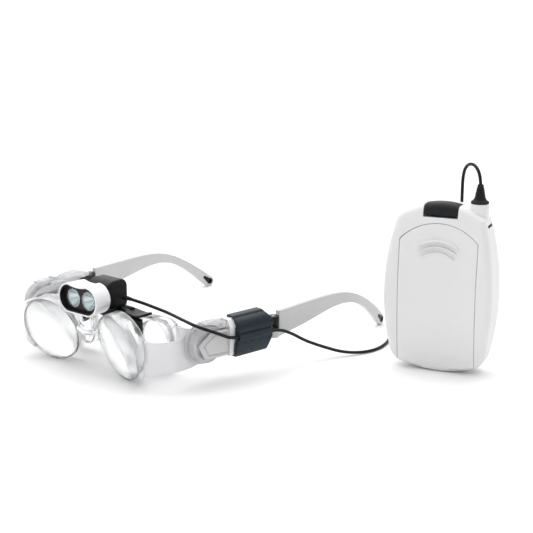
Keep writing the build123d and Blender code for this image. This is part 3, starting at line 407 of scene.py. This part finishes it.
add_camera()
add_floor()
add_world()
add_sun("soft_sun", (0.35, -0.25, -1.0), 1.2, 80)
add_area_light("top_softbox", (-0.1, 0.15, 1.1), (0, 0, 0), (1.4, 0.5), 2.5)
add_area_light("front_fill", (-0.6, -1.3, 0.7), (0, 0, 0.05), (0.5, 0.7), 2.2)
bpy.context.scene.view_settings.view_transform = "Standard"

# --- Lead -----------------------------------------------------------------------------------------

CORD_DIAMETER = 1.8 * MM
LEAD_ROUTE = [
    (-39.05, -64.12, 38.41),
    (-32.90, -60.34, 36.49),
    (-25.4, -57.9, 34.5),
    (-14.9, -57.9, 33.5),
    (3.6, -66.2, 35.0),
    (20.6, -72.2, 35.5),
    (25.2, -65.2, 32.0),
    (26.9, -58.6, 28.8),
    (28.33, -52.14, 25.3),
    (32.60, -21.73, 24.9),
    (33.8, -10.2, 20.2),
    (35.3, 0.8, 13.2),
    (39.3, 12.8, 7.4),
    (44.5, 23.8, 2.6),
    (50.8, 34.0, 0.95),
    (54.2, 46.8, 0.95),
    (50.0, 63.3, 0.95),
    (41.8, 76.3, 0.95),
    (41.3, 89.3, 0.95),
    (51.3, 96.3, 0.95),
    (64.8, 91.5, 0.95),
    (76.3, 86.6, 1.1),
    (86.7, 85.6, 1.3),
]
TAIL_ROUTE = [
    (100.1, 72.2, 3.2),
    (99.8, 65.2, 3.0),
    (99.3, 59.0, 6.4),
    (98.9, 57.6, 13.6),
    (99.4, 58.4, 27.0),
    (98.8, 57.9, 49.0),
    (99.3, 58.3, 71.0),
    (99.0, 58.1, 93.0),
    (99.0, 58.2, 108.5),
    (103.9, 55.4, 114.2),
    (110.9, 51.4, 114.2),
    (115.8, 48.6, 108.5),
    (115.8, 48.6, 101.8),
]
COIL_CENTRE = (86.7, 72.2)
COIL_OUT_R = 13.4
COIL_PITCH = 1.9
COIL_TURNS = 7.25
COIL_POINTS_PER_TURN = 16


def coil_points():
    """Control points of the stored coil: in on the lower layer, then out on the upper one."""
    count = round(COIL_TURNS * COIL_POINTS_PER_TURN)
    points = []
    for index in range(1, count):
        turn = COIL_TURNS * index / count
        half = COIL_TURNS / 2
        radius = COIL_OUT_R - COIL_PITCH * (half - abs(turn - half))
        rise = min(1.0, max(0.0, (turn - half + 0.25) / 0.5))
        angle = math.radians(90 - 360 * turn)
        x = COIL_CENTRE[0] + radius * math.cos(angle)
        y = COIL_CENTRE[1] + radius * math.sin(angle)
        points.append((x, y, 1.3 + 1.9 * rise * rise * (3 - 2 * rise)))
    return points


def add_lead():
    """The whole lead as one smooth spline, from the lamp through the clip and coil to the box."""
    curve = bpy.data.curves.new("lead", "CURVE")
    curve.dimensions = "3D"
    spline = curve.splines.new("NURBS")
    points = LEAD_ROUTE + coil_points() + TAIL_ROUTE
    spline.points.add(len(points) - 1)
    for point, place in zip(spline.points, points):
        point.co = (*(value * MM for value in place), 1.0)
    spline.order_u = 3
    spline.use_endpoint_u = True
    spline.resolution_u = 6
    curve.bevel_depth = CORD_DIAMETER / 2
    curve.bevel_resolution = 5
    curve.use_fill_caps = True
    lead = bpy.data.objects.new("lead", curve)
    bpy.context.scene.collection.objects.link(lead)
    return lead


lead = add_lead()
lead.data.materials.append(
    moulded("cord_rubber", (0.009, 0.009, 0.01), 0.42, 1800.0, 0.00003, spread=0.12, Specular_IOR_Level=0.2)
)
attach(lead, "frame")
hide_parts("cord_lead", "cord_coil", "cord_tail")

# --- Materials, one for each slot of the record ---------------------------------------------------

MATERIALS = {
    "clear_acrylic": carrier_material(),
    "lens_clear": clear(
        "lens_clear", (0.985, 0.99, 1.0), 0.16, 1.49, Coat_Weight=1.0, Coat_Roughness=0.02
    ),
    "frosted_plastic": moulded(
        "frosted_plastic", (0.90, 0.90, 0.91), 0.36, Transmission_Weight=0.62, edge=0.0004
    ),
    "pale_plastic": moulded("pale_plastic", (0.88, 0.88, 0.88), 0.35),
    "grey_plastic": moulded("grey_plastic", (0.58, 0.58, 0.58), 0.34, edge=0.0005),
    "black_plastic": moulded(
        "black_plastic", (0.005, 0.0055, 0.006), 0.3, worn=(0.02, 0.02, 0.022), spread=0.15,
        Specular_IOR_Level=0.2,
    ),
    "black_rubber": moulded(
        "black_rubber", (0.008, 0.008, 0.009), 0.5, worn=(0.02, 0.02, 0.02), spread=0.15,
        Specular_IOR_Level=0.2,
    ),
    "silicone": moulded("silicone", (0.86, 0.88, 0.89), 0.26, Transmission_Weight=0.7, edge=0.0006),
    "steel": metal("steel", (0.62, 0.62, 0.64), 0.28),
    "white_gloss": moulded(
        "white_gloss", (0.86, 0.86, 0.87), 0.2, grain_depth=0.000004, Coat_Weight=0.5, Coat_Roughness=0.06
    ),
    "reflector_chrome": metal("reflector_chrome", (0.50, 0.64, 0.65), 0.06),
    "led_lens": moulded("led_lens", (0.93, 0.95, 0.86), 0.12, grain_depth=0.000003, Coat_Weight=1.0),
    "circuit_board": moulded("circuit_board", (0.02, 0.16, 0.06), 0.3, spread=0.2),
    "slate_plastic": moulded(
        "slate_plastic", (0.009, 0.017, 0.026), 0.3, worn=(0.014, 0.025, 0.035), spread=0.04, edge=0.0002,
        Specular_IOR_Level=0.25,
    ),
    "box_white": moulded("box_white", (0.775, 0.775, 0.78), 0.42, spread=0.01, edge=0.0004),
    "switch_grey": moulded(
        "switch_grey", (0.012, 0.0125, 0.014), 0.5, 1500.0, 0.00008, spread=0.1, Specular_IOR_Level=0.2
    ),
    "cell_jacket": moulded("cell_jacket", (0.06, 0.12, 0.25), 0.25),
    "contact_nickel": metal("contact_nickel", (0.72, 0.7, 0.64), 0.2),
    "cord_jacket": lead.data.materials[0],
}

for part in frame["record"]["subparts"]:
    mesh = nodes[part["node"]].data
    mesh.materials.clear()
    mesh.materials.append(MATERIALS[part["material_slot"]])

SLOT_OF = {part["node"]: part["material_slot"] for part in frame["record"]["subparts"]}
BODIES = frame["record"]["behaviour"]["bodies"]
BODY_OF = {node: body for body, members in BODIES.items() for node in members}


# --- Hard parts with rounded edges ----------------------------------------------------------------

ROUNDED = {
    "temple_arm_left": 0.5, "temple_arm_right": 0.5, "cord_clip": 0.35, "box_front_shell": 0.15,
    "box_rear_shell": 0.15, "battery_lid": 0.25, "power_switch": 0.3, "lamp_bracket": 0.3, "lamp_drum": 0.25,
    "lamp_shell": 0.1, "lamp_bezel": 0.1, "cover_plate_left": 0.15, "cover_plate_right": 0.15,
    "side_housing_left": 0.4, "side_housing_right": 0.4, "rim_band_left": 0.2, "rim_band_right": 0.2,
    "hinge_block_left": 0.3, "hinge_block_right": 0.3, "front_carrier": 0.25, "eyepiece_frame": 0.4,
    "focus_wheel_left": 0.1, "focus_wheel_right": 0.1, "temple_eyelet_left": 0.15,
    "temple_eyelet_right": 0.15, "tilt_tongue": 0.2, "bracket_screw": 0.15, "hinge_pin_left": 0.2,
    "hinge_pin_right": 0.2,
}
for node, width in ROUNDED.items():
    place_piece(refined(node, width), BODY_OF[node], SLOT_OF[node], [node])


# --- Lenses and lamp optics -----------------------------------------------------------------------

LENS_TOE = 11.8
LENS_TILT = 13.6
OBJECTIVE_X, OBJECTIVE_Y, OBJECTIVE_Z = 27.6, -2.4, 19.3
EYEPIECE_X, EYEPIECE_Y, EYEPIECE_Z = 30.6, 23.0, 18.0
REFLECTOR_X, REFLECTOR_Z = 5.9, 41.2
FACING_FRONT = Matrix.Rotation(math.pi / 2, 4, "X")


def beside(sign, x, y, z):
    """The spectacles' frame moved to a point on one side, in millimetres from their mid-plane."""
    return SPECS @ Matrix.Translation((sign * x * MM, y * MM, z * MM))


for side, sign in (("left", 1), ("right", -1)):
    turn = Matrix.Rotation(math.radians(-sign * LENS_TOE), 4, "Z")
    turn = turn @ Matrix.Rotation(math.radians(-90 + LENS_TILT), 4, "X")
    place = beside(sign, OBJECTIVE_X, OBJECTIVE_Y, OBJECTIVE_Z) @ turn
    lens = lathe(f"objective_{side}", lens_profile(18.2, 3.0, 2.8), place, 128)
    place_piece(lens, "front_carrier", "lens_clear", [f"objective_lens_{side}"])
    place = beside(sign, EYEPIECE_X, EYEPIECE_Y, EYEPIECE_Z) @ FACING_FRONT
    eyepiece = lathe(f"eyepiece_{side}", lens_profile(11.3, 2.6, 1.3), place, 96)
    place_piece(eyepiece, "frame", "lens_clear", [f"eyepiece_lens_{side}"])


def facets(radius, height, angle):
    """A reflector's wall, broken into shallow facets round the lamp."""
    return radius * (1 - 0.012 * (1 - math.cos(24 * angle)) * min(1.0, height / 3.5))


CUP = [(1.7, 0.0), (2.15, 0.35), (2.75, 0.85), (3.4, 1.45), (4.05, 2.15), (4.65, 2.85)]
CUP += [(5.15, 3.5), (5.6, 3.5), (5.6, 3.15), (5.1, 3.0), (4.4, 2.2), (3.6, 1.2), (2.9, 0.5)]
CUP += [(2.2, -0.2), (1.7, 0.0)]
for side, sign in (("left", 1), ("right", -1)):
    place = beside(sign, REFLECTOR_X, 0.0, REFLECTOR_Z) @ FACING_FRONT
    cup = lathe(f"reflector_cup_{side}", CUP, place, 96, facets)
    place_piece(cup, "lamp_head", "reflector_chrome", [f"reflector_{side}"])


# --- Soft parts: sleeve, plug boot, coil tie and nose pads ----------------------------------------

EXIT_IN = Vector((4.6, 17.3, 40.1))
EXIT_OUT = Vector((11.6, 21.6, 37.9))


def sleeve_outline():
    """The grooved strain relief, tapering to the lead."""
    length = (EXIT_OUT - EXIT_IN).length
    points = [(0.0, 0.3), (1.38, 0.3)]
    for index in range(6):
        start = 1.6 + index * 0.95
        radius = 1.40 - 0.035 * index
        points += [(radius, start), (radius, start + 0.5)]
        points += [(radius - 0.16, start + 0.58), (radius - 0.16, start + 0.86)]
    points += [(1.14, length - 0.35), (1.02, length - 0.08), (0.93, length), (0.91, length - 0.15)]
    points += [(0.91, length - 2.4), (0.0, length - 2.4)]
    return points


sleeve = lathe("cord_sleeve", sleeve_outline(), axis_matrix(EXIT_IN, EXIT_OUT - EXIT_IN), 48)
place_piece(sleeve, "frame", "black_rubber", ["strain_relief"])


def boot_outline():
    """The flared plug boot with its ring grooves, from the barrel's tip to the lead."""
    foot = 94.65
    points = [(0.0, 85.5), (1.9, 85.5), (2.0, 85.7), (2.0, foot), (4.75, foot), (4.9, foot + 0.2)]
    points += [(4.9, foot + 0.75), (4.7, foot + 1.0), (3.9, foot + 1.6), (3.3, foot + 2.3)]
    for index in range(5):
        start = foot + 2.8 + index * 1.25
        radius = 3.05 - 0.24 * index
        points += [(radius, start), (radius - 0.1, start + 0.72), (radius - 0.42, start + 0.84)]
        points += [(radius - 0.45, start + 1.1)]
    points += [(1.75, foot + 9.3), (1.62, foot + 10.0), (1.4, foot + 10.2), (1.0, foot + 10.2)]
    points += [(0.91, foot + 10.0), (0.91, foot + 7.2), (0.0, foot + 7.2)]
    return points


boot = lathe("lead_boot", boot_outline(), BOX @ Matrix.Translation((19.2 * MM, 0, 0)), 64)
place_piece(boot, "frame", "black_rubber", ["plug_boot"])


def add_tie():
    """The strap round the coil's turns."""
    low_r = COIL_OUT_R - COIL_PITCH * COIL_TURNS / 2 - 0.9
    inner = (low_r - 0.35, 0.33, COIL_OUT_R + 1.0, 4.15)
    grow = 0.42
    bm = bmesh.new()
    section = []
    steps = 9
    for cx, cz, start in (
        (inner[2], inner[3], 0),
        (inner[0], inner[3], 90),
        (inner[0], inner[1] + 0.12, 180),
        (inner[2], inner[1] + 0.12, 270),
    ):
        for index in range(steps):
            angle = math.radians(start + 90 * index / (steps - 1))
            section.append((cx, cz, math.cos(angle), math.sin(angle)))
    rows = []
    for y, inset in ((-1.45, 0.12), (-1.2, 0.0), (0.0, -0.02), (1.2, 0.0), (1.45, 0.12)):
        out = grow - inset
        outer_row = [(cx + out * dx, y, cz + out * dz) for cx, cz, dx, dz in section]
        rows.append([(x, y, max(0.02, z)) for x, y, z in outer_row])
    for y in (1.45, -1.45):
        rows.append([(cx + 0.05 * dx, y, cz + 0.05 * dz) for cx, cz, dx, dz in section])
    turn = Matrix.Rotation(math.radians(205), 4, "Z")
    centre = Vector((COIL_CENTRE[0], COIL_CENTRE[1], 0))
    rings = [[bm.verts.new((turn @ Vector(point) + centre) * MM) for point in row] for row in rows]
    count = len(section)
    for first, second in zip(rings, rings[1:] + rings[:1]):
        for index in range(count):
            after = (index + 1) % count
            bm.faces.new([first[index], first[after], second[after], second[index]])
    bmesh.ops.recalc_face_normals(bm, faces=bm.faces)
    tie = link_mesh("coil_strap", bm)
    shade(tie, 40)
    return tie


tie = place_piece(add_tie(), "frame", "black_rubber", ["coil_tie"])


PAD_X, PAD_Y, PAD_Z = 10.6, 32.4, 13.6
PAD_YAW = 24
PAD_SLANT = 14
PAD_HALF_WIDTH = 3.6
PAD_HALF_HEIGHT = 6.4
PAD_SEGMENTS = 48


def add_nose_pad(side, sign):
    """A soft oval pad with a rounded rim and a dished face, on its slanted seat."""
    slant = Matrix.Rotation(math.radians(sign * PAD_YAW), 4, "Z")
    slant = slant @ Matrix.Rotation(math.radians(sign * PAD_SLANT), 4, "Y")
    upright = Matrix.Rotation(math.pi / 2, 4, "Z") @ FACING_FRONT
    place = beside(sign, PAD_X, PAD_Y, PAD_Z) @ slant @ upright
    bm = bmesh.new()
    rings = []
    outline = [(0.0, -1.15), (0.45, -1.22), (0.8, -1.3), (0.93, -1.05), (1.0, -0.5), (1.0, 0.4)]
    outline += [(0.94, 1.0), (0.8, 1.32), (0.5, 1.42), (0.0, 1.45)]
    for share, height in outline:
        ring = []
        for index in range(PAD_SEGMENTS):
            angle = 2 * math.pi * index / PAD_SEGMENTS
            x = PAD_HALF_WIDTH * share * math.cos(angle)
            y = PAD_HALF_HEIGHT * share * math.sin(angle)
            ring.append(bm.verts.new(place @ (Vector((x, y, sign * height)) * MM)))
            if share == 0.0:
                break
        rings.append(ring)
    bridge_rings(bm, rings, PAD_SEGMENTS)
    bmesh.ops.recalc_face_normals(bm, faces=bm.faces)
    pad = link_mesh(f"soft_pad_{side}", bm)
    pad.data.shade_smooth()
    smooth = pad.modifiers.new("rounding", "SUBSURF")
    smooth.levels = 1
    smooth.render_levels = 1
    return pad


for side, sign in (("left", 1), ("right", -1)):
    place_piece(add_nose_pad(side, sign), "frame", "silicone", [f"nose_pad_{side}"])
